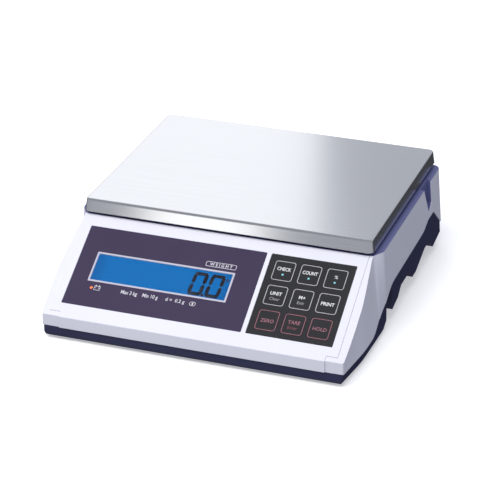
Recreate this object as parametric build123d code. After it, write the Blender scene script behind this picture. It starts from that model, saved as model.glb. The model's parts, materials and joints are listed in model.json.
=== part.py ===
from build123d import *
import math
import os

# Bench counting scale, millimetres. +Z is up, -Y is the operator's side, X is to the right.
# The origin is on the table, under the middle of the whole scale.

# ---- overall sizes ----
scale_depth = 351.0
front_y = -scale_depth / 2
rear_top_y = 168.5
rear_low_y = 176.9
platter_top_z = 108.7
underside_z = 4.0
deck_z = 91.7
wall = 2.5
seam_gap = 0.4
side_grip_inner_x = 146.0
groove_x = 157.5

# ---- platter ----
platter_width = 306.0
platter_depth = 238.0
platter_rim = 13.5
platter_flare = 2.0
platter_sheet = 1.2
platter_corner = 5.0
platter_bend = 2.4
platter_y = 51.5

# ---- sloping panel: s runs down the slope from its top line, n stands out of its face ----
slope_angle = 30.46
slope_top_y = -68.2
slope_top_z = 90.67
slope_cos = math.cos(math.radians(slope_angle))
slope_sin = math.sin(math.radians(slope_angle))
slope = Plane(origin=(0, slope_top_y, slope_top_z), x_dir=(1, 0, 0), z_dir=(0, -slope_sin, slope_cos))
border_drop = 0.7
plateau_half = 150.5
plateau_end_s = 118.0
nose_half = 139.0
nose_proud = 1.2

# ---- labels, display and keys on the slope ----
label_top_s = 12.7
label_end_s = 107.6
label_half = 142.0
label_split_left = 48.3
label_split_right = 53.4
label_thick = 0.5
label_sink = 0.1
label_play = 0.25
lens_x = (-124.2, 23.4)
lens_s = (42.2, 77.6)
lens_frame = 1.9
lens_thick = 1.2
glass_top_n = -1.35
glass_thick = 2.8
glass_ledge = 1.9
board_top_n = -10.5
board_thick = 1.6
key_width = 21.7
key_height = 23.3
key_pitch_x = 27.0
key_pitch_s = 29.3
key_centre_x = (label_split_right + label_half) / 2
key_centre_s = (label_top_s + label_end_s) / 2 + 0.2
key_play = 0.3
key_radius = 3.0
lamp_x = -117.5
lamp_s = 84.9

# ---- weighing mechanism ----
cell_length = 130.0
cell_width = 25.0
cell_bottom = 20.0
cell_height = 22.0
cell_end = 32.0
weighing_travel = 0.4
spacer_top = 46.0
arm_bottom = 96.0
arm_height = 7.0
cushion_x = 118.0
cushion_y = 86.0
cushion_radius = 7.0
stop_share = 0.80

# ---- feet ----
foot_x = 128.0
foot_y = 140.0
foot_places = {"front_left": (-foot_x, -foot_y), "front_right": (foot_x, -foot_y),
               "rear_left": (-foot_x, foot_y), "rear_right": (foot_x, foot_y)}
pad_radius = 12.0
pad_height = 3.0
knob_radius = 14.0
knob_top = 8.0
foot_pocket_radius = 16.5
foot_pocket_top = 12.2
stud_radius = 3.9
stud_top = 29.0

# ---- case screws, boards, battery ----
case_screw_places = [(side * x, y) for x, y in ((148.0, -160.0), (138.0, 8.0), (148.0, 157.0))
                     for side in (-1, 1)]
case_joint_z = 20.0
board_z = 30.0
board_x = (12.0, 112.0)
board_y = (84.0, 164.0)
battery_x = (-100.0, 1.0)
battery_y = (86.0, 156.0)
battery_z = (6.8, 53.8)
cover_x = (-107.0, 8.0)
cover_y = (76.0, 166.0)
cover_thick = 2.0
serial_x = 46.0
jack_x = 86.0
switch_x = 122.0
switch_z = 62.0
vial_y = -46.0

FLOOR = (Align.CENTER, Align.CENTER, Align.MIN)


def block(x0, x1, y0, y1, z0, z1):
    """A box between two corners."""
    return Pos((x0 + x1) / 2, (y0 + y1) / 2, z0) * Box(x1 - x0, y1 - y0, z1 - z0, align=FLOOR)


def rod(x, y, z0, z1, radius):
    """An upright cylinder."""
    return Pos(x, y, z0) * Cylinder(radius, z1 - z0, align=FLOOR)


def slope_plate(x0, x1, s0, s1, n0, n1, radius):
    """A plate with rounded corners, laid parallel to the sloping panel."""
    face = RectangleRounded(x1 - x0, s1 - s0, radius)
    return slope * Pos((x0 + x1) / 2, -(s0 + s1) / 2, n0) * extrude(face, n1 - n0)


def slope_rod(x, s, n0, n1, radius):
    """A pin that stands square to the sloping panel."""
    return slope * Pos(x, -s, n0) * Cylinder(radius, n1 - n0, align=FLOOR)


def mirrored(shape):
    """The shape and its twin on the other side of the scale."""
    return shape + mirror(shape, Plane.YZ)


def write(name, shape):
    """One STEP file for one sub-part."""
    export_step(shape, f"parts/{name}.step")


# ---- case outline: the same five right-hand points at deck height and at the seam ----
deck_points = [(156.5, front_y), (155.9, -118.0), (153.6, -66.5), (161.5, -53.5), (161.5, rear_top_y)]
deck_radii = [4.0, 250.0, 12.0, 10.0, 9.0]
skirt_points = [(158.0, front_y), (164.3, -124.0), (165.6, -72.0), (166.0, -50.0), (166.0, rear_low_y)]
skirt_radii = [4.0, 250.0, 250.0, 250.0, 12.0]
deck_level = deck_z
skirt_level = 12.0


def section(z, inset):
    """Closed plan outline of the case at one height, drawn in by inset on every side."""
    share = min(max((z - skirt_level) / (deck_level - skirt_level), 0.0), 1.0)
    right = []
    for (x0, y0), (x1, y1) in zip(skirt_points, deck_points):
        x = x0 + (x1 - x0) * share
        y = y0 + (y1 - y0) * share
        shift = inset if y0 == front_y else (-inset if y0 > 0 else 0.0)
        right.append((x - inset, y + shift, z))
    left = [(-x, y, z) for x, y, z in reversed(right)]
    rounds = [max(r0 + (r1 - r0) * share - inset, 1.0) for r0, r1 in zip(skirt_radii, deck_radii)]
    return make_face(FilletPolyline(*(right + left), radius=rounds + rounds[::-1], close=True))


def case_form(levels):
    """Solid form of the case through a list of heights, each with its own inset."""
    return loft([section(z, inset) for z, inset in levels], ruled=True)


def above_slope(n):
    """Everything above a plane parallel to the sloping panel, at height n over its face."""
    return slope * Pos(0, 0, n) * Box(500, 400, 120, align=FLOOR)


def seam_curve(lift):
    """Side view of the line where the light case ends and the dark base begins."""
    points = [(-200.0, 15.2), (-92.0, 15.2), (-28.0, 44.5), (95.0, 46.0),
              (114.0, 51.8), (137.0, 51.8), (168.0, 25.0), (200.0, 25.0)]
    rounds = [40.0, 40.0, 30.0, 18.0, 14.0, 14.0]
    lifted = [(0.0, y, z + lift) for y, z in points]
    return FilletPolyline(*lifted, radius=rounds), lifted


def below_seam(lift):
    """Everything under the seam line, right across the scale."""
    curve, points = seam_curve(lift)
    first = points[0]
    last = points[-1]
    rim = Polyline(last, (0, last[1], -20.0), (0, first[1], -20.0), first)
    face = make_face(Curve() + [curve, rim])
    return Pos(-200, 0, 0) * extrude(face, 400, dir=(1, 0, 0))


def grip_blocks(grow):
    """Finger grips and recesses along both lower sides, grown by a wall thickness."""
    points = [(-62.0, -8.0), (-61.0, 5.0), (-47.0, 12.0), (-44.0, 44.0), (-27.0, 44.0), (-25.0, 13.5),
              (-4.0, 17.0), (9.0, 25.0), (41.0, 25.0), (52.0, 13.5), (66.0, 13.5), (102.0, 24.0),
              (123.0, 24.0), (135.0, 10.5), (190.0, 18.0), (190.0, -8.0)]
    face = make_face(Polyline(*[(0.0, y, z) for y, z in points], close=True))
    if grow > 0:
        face = offset(face, grow, kind=Kind.INTERSECTION)
    length = 200.0 - side_grip_inner_x + grow
    return mirrored(Pos(side_grip_inner_x - grow, 0, 0) * extrude(face, length, dir=(1, 0, 0)))


def side_groove():
    """Tapered finger groove high on the side of the case, near the back."""
    points = [(0.0, 99.0, 95.0), (0.0, 104.0, 84.0), (0.0, 118.0, 58.0), (0.0, 129.0, 66.0), (0.0, 127.0, 95.0)]
    face = make_face(Polyline(*points, close=True))
    return mirrored(Pos(groove_x, 0, 0) * extrude(face, 20.0, dir=(1, 0, 0)))


def plateau():
    """The slightly raised middle of the slope, which narrows to the nose at the front."""
    points = [(-plateau_half, 40.0), (plateau_half, 40.0), (plateau_half, -plateau_end_s),
              (nose_half, -plateau_end_s), (nose_half, -160.0), (-nose_half, -160.0),
              (-nose_half, -plateau_end_s), (-plateau_half, -plateau_end_s)]
    face = make_face(Polyline(*points, close=True))
    return slope * Pos(0, 0, -10.0) * extrude(face, 30.0)


def case_outside():
    """Outer form of the light case with its slope, nose and raised middle panel."""
    body = case_form([(skirt_level, 0.0), (deck_z, 0.0)]) - above_slope(0.0)
    body -= above_slope(-border_drop) - plateau() - block(-200, 200, -66.0, 200, 0, 200)
    body -= mirrored(block(nose_half, 200, front_y - 5, front_y + nose_proud, 0, 200))
    return body - side_groove()


board_post_places = [(x, s) for x in (-134.0, 37.0, 139.2) for s in (22.0, 98.0)]


def key_places():
    """Centre of each key on the slope, from the top row down."""
    return [(key_centre_x + column * key_pitch_x, key_centre_s + row * key_pitch_s)
            for row in (-1, 0, 1) for column in (-1, 0, 1)]


def upper_housing():
    """Light top case: hollow shell with label pockets, display window, key wells and screw bosses."""
    body = case_outside()
    hollow = case_form([(skirt_level - 1, wall), (deck_z - wall, wall)]) - above_slope(-border_drop - wall)
    hollow -= groove_backing()
    body -= hollow
    floor_n = -label_sink - label_thick
    for x0, x1 in ((-label_half, label_split_left), (label_split_right, label_half)):
        body -= slope_plate(x0 - label_play, x1 + label_play, label_top_s - label_play,
                            label_end_s + label_play, floor_n, 5.0, 1.2)
    lens_floor = -label_sink - lens_thick
    body -= slope_plate(lens_x[0] - label_play, lens_x[1] + label_play, lens_s[0] - label_play,
                        lens_s[1] + label_play, lens_floor, 5.0, 1.0)
    body -= slope_plate(lens_x[0] + glass_ledge, lens_x[1] - glass_ledge, lens_s[0] + glass_ledge,
                        lens_s[1] - glass_ledge, -9.0, 5.0, 1.0)
    for x, s in key_places():
        body -= slope_plate(x - key_width / 2 - 0.5, x + key_width / 2 + 0.5, s - key_height / 2 - 0.5,
                            s + key_height / 2 + 0.5, -9.0, 5.0, key_radius)
    body -= slope_rod(lamp_x, lamp_s, -9.0, 5.0, 1.6)
    for x, s in board_post_places:
        body += slope_rod(x, s, board_top_n, -2.0, 2.8) - slope_rod(x, s, board_top_n - 1, -4.5, 1.25)
    body -= block(-36.0, 73.0, platter_y - 24.0, platter_y + 24.0, deck_z - wall - 1, deck_z + 1)
    body -= rod(0, vial_y, deck_z - 10, deck_z + 1, 8.6)
    body -= below_seam(0.0)
    body -= rear_openings()
    inside = case_form([(skirt_level, wall / 2), (deck_z - wall / 2, wall / 2)])
    inside -= above_slope(-border_drop - wall / 2)
    for x, y in case_screw_places:
        body += rod(x, y, case_joint_z + 0.3, deck_z, 5.0) & inside
        body -= rod(x, y, case_joint_z - 1, 33.0 if y < -100 else 40.0, 1.8)
    return body


def groove_backing():
    """Wall that closes each finger groove on the inside of the case."""
    points = [(0.0, 95.0, 95.0), (0.0, 101.0, 82.0), (0.0, 116.0, 53.0), (0.0, 133.0, 64.0), (0.0, 131.0, 95.0)]
    face = make_face(Polyline(*points, close=True))
    return mirrored(Pos(groove_x - wall, 0, 0) * extrude(face, 20.0, dir=(1, 0, 0)))


rear_lean = math.degrees(math.atan((rear_low_y - rear_top_y) / (deck_level - skirt_level)))


def rear_plane(x, z):
    """A plane on the outside of the leaning rear wall, facing backwards."""
    y = rear_top_y + (deck_level - z) * math.tan(math.radians(rear_lean))
    out = (0, math.cos(math.radians(rear_lean)), math.sin(math.radians(rear_lean)))
    return Plane(origin=(x, y, z), x_dir=(-1, 0, 0), z_dir=out)


def rear_openings():
    """Holes in the rear wall for the serial port, the supply jack and the power switch."""
    cut = block(serial_x - 9.4, serial_x + 9.4, 160, 190, 32.8, 42.9)
    cut += Pos(jack_x, 180, 37.2) * Rot(90, 0, 0) * Cylinder(4.3, 24)
    cut += rear_plane(switch_x, switch_z) * Box(19.2, 13.2, 20)
    return cut


def lower_base():
    """Dark base tray: floor, side walls with grips, foot pockets, posts and battery bay."""
    body = case_form([(underside_z, 2.6), (underside_z + 3.0, 1.2), (60.0, 0.7)]) & below_seam(-seam_gap)
    lip = case_form([(10.0, wall + seam_gap), (60.0, wall + seam_gap)]) & below_seam(5.0)
    lip -= mirrored(block(140.0, 200.0, -75.0, -56.0, 0.0, 70.0) + block(140.0, 200.0, 92.0, 138.0, 49.0, 70.0))
    body += lip
    room = case_form([(underside_z + wall, 8.0), (11.0, wall + 2.2), (70.0, wall + 2.2)])
    body -= room - grip_blocks(wall)
    body -= grip_blocks(0.0)
    for x, y in foot_places.values():
        body += rod(x, y, underside_z, foot_pocket_top + wall, foot_pocket_radius + 2.2)
        body += rod(x, y, underside_z, 27.0, 8.5)
        body -= rod(x, y, underside_z - 1, foot_pocket_top, foot_pocket_radius)
        body -= rod(x, y, underside_z, foot_pocket_top + 1.6, stud_radius + 0.7)
        body -= rod(x, y, foot_pocket_top + 1.6, 30.0, 5.5)
    for x, y in case_screw_places:
        body += rod(x, y, underside_z, case_joint_z, 5.0)
        body -= rod(x, y, underside_z - 3, underside_z + 6.0, 4.2)
        body -= rod(x, y, underside_z - 3, case_joint_z + 1, 2.3)
    for x in (board_x[0] + 5, board_x[1] - 5):
        for y in (board_y[0] + 5, board_y[1] - 5):
            body += rod(x, y, underside_z + 1, board_z, 4.0) - rod(x, y, board_z - 12, board_z + 1, 1.25)
    pedestal = block(-67, -31, platter_y - 17, platter_y + 17, underside_z, 14)
    body += pedestal
    for x in cell_hole_x(-1):
        body -= rod(x, platter_y, underside_z - 1, 10, 5.6)
        body -= rod(x, platter_y, underside_z - 1, 15, 3.2)
    body += battery_bay()
    body -= block(cover_x[0], cover_x[1], cover_y[0], cover_y[1], underside_z - 1, underside_z + cover_thick)
    body -= block(battery_x[0] - 2, battery_x[1] + 2, battery_y[0] - 2, battery_y[1] + 2, 0, 60)
    for x, y in cover_screw_places():
        body -= rod(x, y, underside_z, underside_z + 6.0, 1.25)
    return body


def cover_screw_places():
    """The two screws of the battery cover."""
    middle = (battery_x[0] + battery_x[1]) / 2
    return [(middle, cover_y[0] + 4.0), (middle, cover_y[1] - 4.0)]


def battery_bay():
    """Floor frame and low walls that hold the battery."""
    frame = block(cover_x[0] - 3, cover_x[1] + 3, cover_y[0] - 3, cover_y[1] + 3, underside_z, underside_z + 7.0)
    walls = block(battery_x[0] - 4, battery_x[1] + 4, battery_y[0] - 4, battery_y[1] + 4, underside_z, 32.0)
    return frame + walls


def cell_hole_x(side):
    """The two screw places at one end of the load cell."""
    return [side * (cell_length / 2 - 8.0), side * (cell_length / 2 - 24.0)]


def platter_form(inset):
    """Outside of the platter, or its inside once drawn in by the sheet thickness."""
    height = platter_rim - inset
    grow = 2 * (platter_flare - inset)
    lean = math.degrees(math.atan2(platter_flare, platter_rim))
    mouth = RectangleRounded(platter_width + grow, platter_depth + grow,
                             platter_corner + platter_flare - inset)
    form = extrude(mouth, height, taper=lean)
    return fillet(form.faces().sort_by(Axis.Z)[-1].edges(), platter_bend - inset)


def platter():
    """Pressed stainless platter: flat top with a turned-down, slightly flared rim."""
    return Pos(0, platter_y, platter_top_z - platter_rim) * (platter_form(0.0) - platter_form(platter_sheet))


def cushion_places():
    """The four corners where the platter rests."""
    return [(sx * cushion_x, platter_y + sy * cushion_y) for sx in (-1, 1) for sy in (-1, 1)]


def stop_places():
    """The overload stop screws, part of the way out along each arm."""
    return [(sx * cushion_x * stop_share, platter_y + sy * cushion_y * stop_share)
            for sx in (-1, 1) for sy in (-1, 1)]


def platter_support():
    """Cast aluminium cross: four arms on a hub, and a leg down to the free end of the load cell."""
    top = arm_bottom + arm_height
    reach = math.hypot(cushion_x, cushion_y)
    angle = math.degrees(math.atan2(cushion_y, cushion_x))
    body = block(-46, 46, platter_y - 30, platter_y + 30, arm_bottom, top)
    for turn in (angle, -angle):
        bar = Box(2 * reach, 15, arm_height, align=FLOOR) - Pos(0, 0, -1) * Box(2 * reach - 30, 9, 5, align=FLOOR)
        body += Pos(0, platter_y, arm_bottom) * Rot(0, 0, turn) * bar
    for x, y in cushion_places():
        body += rod(x, y, arm_bottom, top, 12.0)
    for x, y in stop_places():
        body += rod(x, y, arm_bottom, top, 8.0)
    leg_points = [(31.0, 54.0), (67.0, 54.0), (67.0, 64.0), (44.0, arm_bottom), (-30.0, arm_bottom),
                  (-30.0, 88.0), (12.0, 80.0), (31.0, 62.0)]
    leg_face = make_face(Polyline(*[(x, 0, z) for x, z in leg_points], close=True))
    for y in (platter_y - 18.0, platter_y + 14.0):
        body += Pos(0, y, 0) * extrude(leg_face, 4.0, dir=(0, 1, 0))
    body += block(31, 67, platter_y - 18, platter_y + 18, spacer_top, 54)
    body -= block(-38, 20, platter_y - 22, platter_y + 22, arm_bottom - 1, top - 3)
    for x in cell_hole_x(1):
        body -= rod(x, platter_y, spacer_top - 1, 55, 3.2)
        body -= rod(x, platter_y, 60, top + 1, 6.0)
    for x, y in cushion_places():
        body -= rod(x, y, top - 3.0, top + 1, cushion_radius)
    for x, y in stop_places():
        body -= rod(x, y, arm_bottom - 1, top + 1, 2.5)
    return body


def platter_cushions():
    """Four rubber buttons between the support and the platter."""
    top = arm_bottom + arm_height
    pads = Part()
    for x, y in cushion_places():
        button = Cylinder(cushion_radius, platter_top_z - platter_sheet - 0.1 - (top - 3.0), align=FLOOR)
        button = chamfer(button.faces().sort_by(Axis.Z)[-1].edges(), 1.0)
        pads += Pos(x, y, top - 3.0) * button
    return pads


def stop_screws():
    """Slotted overload stop screws, set just above the deck."""
    screws = Part()
    for x, y in stop_places():
        screw = rod(x, y, deck_z + 0.9, arm_bottom + arm_height + 3.2, 2.5)
        screws += screw - block(x - 3, x + 3, y - 0.4, y + 0.4, arm_bottom + arm_height + 2.0, 120)
    return screws


def stop_nuts():
    """Hexagon nuts that lock the overload stop screws."""
    top = arm_bottom + arm_height
    nuts = Part()
    for x, y in stop_places():
        nuts += Pos(x, y, top) * extrude(RegularPolygon(4.6, 6) - Circle(2.5), 2.6)
    return nuts


def load_cell():
    """Aluminium bending-beam load cell with its double bore."""
    bar = block(-cell_length / 2, cell_length / 2, platter_y - cell_width / 2, platter_y + cell_width / 2,
                cell_bottom, cell_bottom + cell_height)
    middle = cell_bottom + cell_height / 2
    for x in (-14.0, 14.0):
        bar -= Pos(x, platter_y, middle) * Rot(90, 0, 0) * Cylinder(8.8, cell_width + 2)
    bar -= block(-14, 14, platter_y - 20, platter_y + 20, middle - 3.5, middle + 3.5)
    for x in cell_hole_x(-1):
        bar -= rod(x, platter_y, cell_bottom - 1, 34, 3.0)
    for x in cell_hole_x(1):
        bar -= rod(x, platter_y, 28, cell_bottom + cell_height + 1, 3.0)
    return chamfer(bar.faces().sort_by(Axis.X)[0].edges(), 0.8)


def cell_spacer(side, z0, z1):
    """Plate between the load cell and what it is bolted to."""
    outer = side * cell_length / 2
    inner = side * (cell_length / 2 - cell_end)
    plate = block(min(outer, inner), max(outer, inner), platter_y - 14, platter_y + 14, z0, z1)
    for x in cell_hole_x(side):
        plate -= rod(x, platter_y, z0 - 1, z1 + 1, 3.0)
    return plate


def socket_screws(places, head_low, head_high, tip, radius, head_radius):
    """Socket head cap screws, pointing from their heads towards tip."""
    screws = Part()
    for x, y in places:
        head = rod(x, y, head_low, head_high, head_radius)
        if tip > head_high:
            head -= Pos(x, y, head_low - 0.01) * extrude(RegularPolygon(head_radius * 0.55, 6), 2.0)
            shank = rod(x, y, head_high, tip, radius)
        else:
            head -= Pos(x, y, head_high - 2.0) * extrude(RegularPolygon(head_radius * 0.55, 6), 2.01)
            shank = rod(x, y, tip, head_low, radius)
        screws += head + shank
    return screws


def display_label():
    """Printed film over the display half, with the display opening and the lamp hole."""
    n0 = -label_sink - label_thick
    film = slope_plate(-label_half, label_split_left, label_top_s, label_end_s, n0, -label_sink, 1.0)
    film -= slope_plate(lens_x[0] - 0.1, lens_x[1] + 0.1, lens_s[0] - 0.1, lens_s[1] + 0.1, n0 - 1, 1.0, 0.8)
    return film - slope_rod(lamp_x, lamp_s, n0 - 1, 1.0, 1.6)


def lens_bezel():
    """Light grey frame around the display window."""
    n0 = -label_sink - lens_thick
    outer = slope_plate(lens_x[0], lens_x[1], lens_s[0], lens_s[1], n0, 0.05, 0.8)
    return outer - slope_plate(lens_x[0] + lens_frame, lens_x[1] - lens_frame, lens_s[0] + lens_frame,
                               lens_s[1] - lens_frame, n0 - 1, 1.0, 0.5)


def lens_window():
    """Clear window inside the frame."""
    edge = lens_frame + 0.05
    return slope_plate(lens_x[0] + edge, lens_x[1] - edge, lens_s[0] + edge, lens_s[1] - edge,
                       -label_sink - lens_thick, -0.35, 0.5)


def lcd_glass():
    """Liquid crystal panel behind the window."""
    edge = glass_ledge + 0.15
    return slope_plate(lens_x[0] + edge, lens_x[1] - edge, lens_s[0] + edge, lens_s[1] - edge,
                       glass_top_n - glass_thick, glass_top_n, 0.5)


def lcd_backlight():
    """Light guide and reflector under the liquid crystal panel."""
    top = glass_top_n - glass_thick - 0.05
    return slope_plate(lens_x[0] - 2, lens_x[1] + 2, lens_s[0] - 3, lens_s[1] + 3, board_top_n + 0.05, top, 1.0)


def display_board():
    """Circuit board that carries the display and the key switches."""
    board = slope_plate(-140.0, 143.0, 14.0, 106.0, board_top_n - board_thick, board_top_n, 2.0)
    for x, s in board_post_places:
        board -= slope_rod(x, s, board_top_n - 5, board_top_n + 1, 1.6)
    return board


def display_board_screws():
    """Pan head screws that hold the display board to the posts in the case."""
    screws = Part()
    back = board_top_n - board_thick
    for x, s in board_post_places:
        head = slope_rod(x, s, back - 2.0, back, 2.8)
        head -= slope * Pos(x, -s, back - 2.0) * Box(4.0, 0.8, 1.6)
        screws += head + slope_rod(x, s, back, -5.0, 1.25)
    return screws


def keypad_overlay():
    """Printed film over the key half, open around each key zone."""
    n0 = -label_sink - label_thick
    film = slope_plate(label_split_right, label_half, label_top_s, label_end_s, n0, -label_sink, 1.0)
    for x, s in key_places():
        film -= slope_plate(x - key_width / 2 - key_play, x + key_width / 2 + key_play,
                            s - key_height / 2 - key_play, s + key_height / 2 + key_play, n0 - 1, 1.0,
                            key_radius + key_play)
    return film


def key(x, s):
    """One key: a film zone on a cap, with a stem that reaches its switch."""
    cap = slope_plate(x - key_width / 2, x + key_width / 2, s - key_height / 2, s + key_height / 2,
                      -2.0, -label_sink, key_radius)
    return cap + slope_plate(x - 3.0, x + 3.0, s - 3.0, s + 3.0, -5.2, -2.0, 0.6)


def key_switches():
    """Push switches on the display board, one under each key."""
    switches = Part()
    for x, s in key_places():
        switches += slope_plate(x - 3.1, x + 3.1, s - 3.1, s + 3.1, board_top_n, -6.8, 0.3)
        switches += slope_rod(x, s, -6.8, -5.9, 1.7)
    return switches


def charge_lamp():
    """Small lamp that shines through the hole in the display label."""
    lamp = slope_rod(lamp_x, lamp_s, board_top_n, -1.6, 1.4)
    return lamp + slope * Pos(lamp_x, -lamp_s, -1.6) * (Sphere(1.4) & Box(4, 4, 4, align=FLOOR))


def main_board():
    """Circuit board with the power and weighing electronics."""
    board = block(board_x[0], board_x[1], board_y[0], board_y[1], board_z, board_z + board_thick)
    for x in (board_x[0] + 5, board_x[1] - 5):
        for y in (board_y[0] + 5, board_y[1] - 5):
            board -= rod(x, y, board_z - 1, board_z + 3, 1.6)
    return board


def main_board_parts():
    """Chips, capacitors, headers and the heat sink on the main board."""
    top = board_z + board_thick
    parts = Part()
    for x, y, width, depth, height in ((55, 112, 18, 18, 2.2), (85, 108, 12, 9, 2.0), (36, 124, 10, 7, 2.0),
                                       (88, 132, 20, 12, 14.0), (90, 89, 22, 6, 8.0), (22, 99, 8, 14, 7.0)):
        parts += block(x - width / 2, x + width / 2, y - depth / 2, y + depth / 2, top, top + height)
    for x, y, radius, height in ((64, 136, 5.0, 13.0), (50, 138, 4.0, 11.0), (72, 120, 3.2, 8.0), (30, 142, 4.0, 6.0)):
        parts += rod(x, y, top, top + height, radius)
    return parts


def main_board_screws():
    """Four pan head screws that hold the main board."""
    top = board_z + board_thick
    screws = Part()
    for x in (board_x[0] + 5, board_x[1] - 5):
        for y in (board_y[0] + 5, board_y[1] - 5):
            head = rod(x, y, top, top + 2.0, 2.8) - block(x - 2, x + 2, y - 0.4, y + 0.4, top + 1.0, top + 3)
            screws += head + rod(x, y, board_z - 8, top, 1.25)
    return screws


def serial_port():
    """Nine-way socket for a printer or computer, with its shell in the rear wall."""
    top = board_z + board_thick
    body = block(serial_x - 15.4, serial_x + 15.4, 158.0, 169.4, top, top + 12.4)
    shell = Pos(serial_x, 169.4, top + 6.2) * Rot(-90, 0, 0) * extrude(RectangleRounded(16.6, 8.2, 2.4), 4.6)
    body += shell
    for row, count in ((1.4, 5), (-1.4, 4)):
        for pin in range(count):
            x = serial_x + (pin - (count - 1) / 2) * 2.75
            body -= Pos(x, 174.0, top + 6.2 + row) * Rot(90, 0, 0) * Cylinder(0.55, 6)
    return body


def serial_port_nuts():
    """Hexagon posts either side of the serial port."""
    top = board_z + board_thick
    nuts = Part()
    for side in (-1, 1):
        place = Pos(serial_x + side * 12.5, 169.4, top + 6.2) * Rot(-90, 0, 0)
        nuts += place * extrude(RegularPolygon(2.6, 6), 1.0)
    return nuts


def dc_jack():
    """Barrel socket for the mains adapter."""
    top = board_z + board_thick
    centre = 37.2
    body = block(jack_x - 4.6, jack_x + 4.6, 156.0, 169.6, top, centre + 4.6)
    body += Pos(jack_x, 169.6, centre) * Rot(-90, 0, 0) * Cylinder(4.0, 3.8, align=FLOOR)
    body -= Pos(jack_x, 160.0, centre) * Rot(-90, 0, 0) * Cylinder(2.8, 20, align=FLOOR)
    return body + Pos(jack_x, 159.0, centre) * Rot(-90, 0, 0) * Cylinder(1.0, 12.5, align=FLOOR)


def switch_body():
    """Snap-in switch housing with the recess in which the rocker tilts."""
    place = rear_plane(switch_x, switch_z)
    body = Pos(0, 0, -15.0) * Box(18.8, 12.8, 15.0, align=FLOOR)
    body += extrude(RectangleRounded(22.0, 16.0, 1.2), 1.6)
    body -= Pos(0, 0, -8.5) * Box(15.4, 10.6, 20.0, align=FLOOR)
    for x in (-4.0, 4.0):
        body += Pos(x, 0, -21.0) * Box(0.8, 4.8, 6.0, align=FLOOR)
    return place * body


rocker_tilt = 9.0


def power_rocker():
    """Rocker with two faces that meet at a shallow angle over its pivot."""
    rise = 5.0 * math.tan(math.radians(rocker_tilt))
    points = [(-4.7, -3.0), (4.7, -3.0), (4.7, 2.4 + 2 * rise), (0.0, 2.4 + rise), (-4.7, 2.4 + 2 * rise)]
    points = [(0.0, y, z) for y, z in points]
    solid = Pos(-7.3, 0, 0) * extrude(make_face(Polyline(*points, close=True)), 14.6, dir=(1, 0, 0))
    solid += Rot(0, 90, 0) * Cylinder(1.4, 15.2)
    place = rear_plane(switch_x, switch_z)
    return place * (Pos(0, 0, -2.0) * Rot(rocker_tilt, 0, 0) * solid)


def battery():
    """Sealed six-volt battery."""
    case = block(battery_x[0], battery_x[1], battery_y[0], battery_y[1], battery_z[0], battery_z[1])
    return chamfer(case.edges().filter_by(Axis.X), 1.5)


def battery_terminals():
    """The two flat tabs of the battery."""
    tabs = Part()
    for y in (100.0, 142.0):
        tabs += block(battery_x[1], battery_x[1] + 1.0, y - 4, y + 4, 40.0, 52.0)
        tabs += block(battery_x[1] + 1.0, battery_x[1] + 8.0, y - 3.2, y + 3.2, 45.0, 45.8)
    return tabs


def battery_cover():
    """Screwed cover in the underside, with finger ribs."""
    play = 0.4
    x0 = cover_x[0] + play
    x1 = cover_x[1] - play
    y0 = cover_y[0] + play
    y1 = cover_y[1] - play
    plate = block(x0, x1, y0, y1, underside_z, underside_z + cover_thick)
    for count in range(6):
        x = x0 + 8 + count * 3.0
        plate -= block(x, x + 1.2, 105, 137, underside_z - 1, underside_z + 0.8)
    for x, y in cover_screw_places():
        plate -= rod(x, y, underside_z - 1, underside_z + 5, 1.6)
    return plate


def battery_cover_screws():
    """Two countersunk screws for the battery cover."""
    screws = Part()
    for x, y in cover_screw_places():
        head = rod(x, y, underside_z - 1.6, underside_z, 2.8)
        head -= block(x - 2, x + 2, y - 0.4, y + 0.4, underside_z - 2, underside_z - 0.8)
        screws += head + rod(x, y, underside_z, underside_z + 5.8, 1.25)
    return screws


def vial_bezel():
    """Ring that holds the bubble level in the deck."""
    ring = rod(0, vial_y, deck_z, deck_z + 1.0, 11.0) + rod(0, vial_y, deck_z - 6.0, deck_z, 8.4)
    return ring - rod(0, vial_y, deck_z - 4.5, deck_z + 2, 6.6)


def vial_glass():
    """Round bubble level."""
    return rod(0, vial_y, deck_z - 4.5, deck_z + 0.6, 6.5)


def case_screws():
    """Long pan head screws from below, through the base posts into the case bosses."""
    screws = Part()
    for x, y in case_screw_places:
        tip = 32.0 if y < -100 else 38.0
        head = rod(x, y, underside_z + 3.4, underside_z + 6.0, 3.9)
        head -= block(x - 3, x + 3, y - 0.5, y + 0.5, 0, underside_z + 4.6)
        head -= block(x - 0.5, x + 0.5, y - 3, y + 3, 0, underside_z + 4.6)
        screws += head + rod(x, y, underside_z + 6.0, tip, 1.8)
    return screws


def foot_inserts():
    """Brass threaded inserts moulded into the base over each foot."""
    inserts = Part()
    for x, y in foot_places.values():
        inserts += rod(x, y, foot_pocket_top + 1.6, 27.0, 5.5) - rod(x, y, 0, 40, stud_radius + 0.06)
    return inserts


def foot_pad(x, y):
    """Rubber sole of a levelling foot, with the peg it swivels on."""
    sole = Cylinder(pad_radius, pad_height, align=FLOOR)
    sole = chamfer(sole.faces().sort_by(Axis.Z)[0].edges(), 0.8)
    peg = Pos(0, 0, pad_height) * Cylinder(4.0, 2.6, align=FLOOR)
    return Pos(x, y, 0) * (sole + peg)


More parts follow.
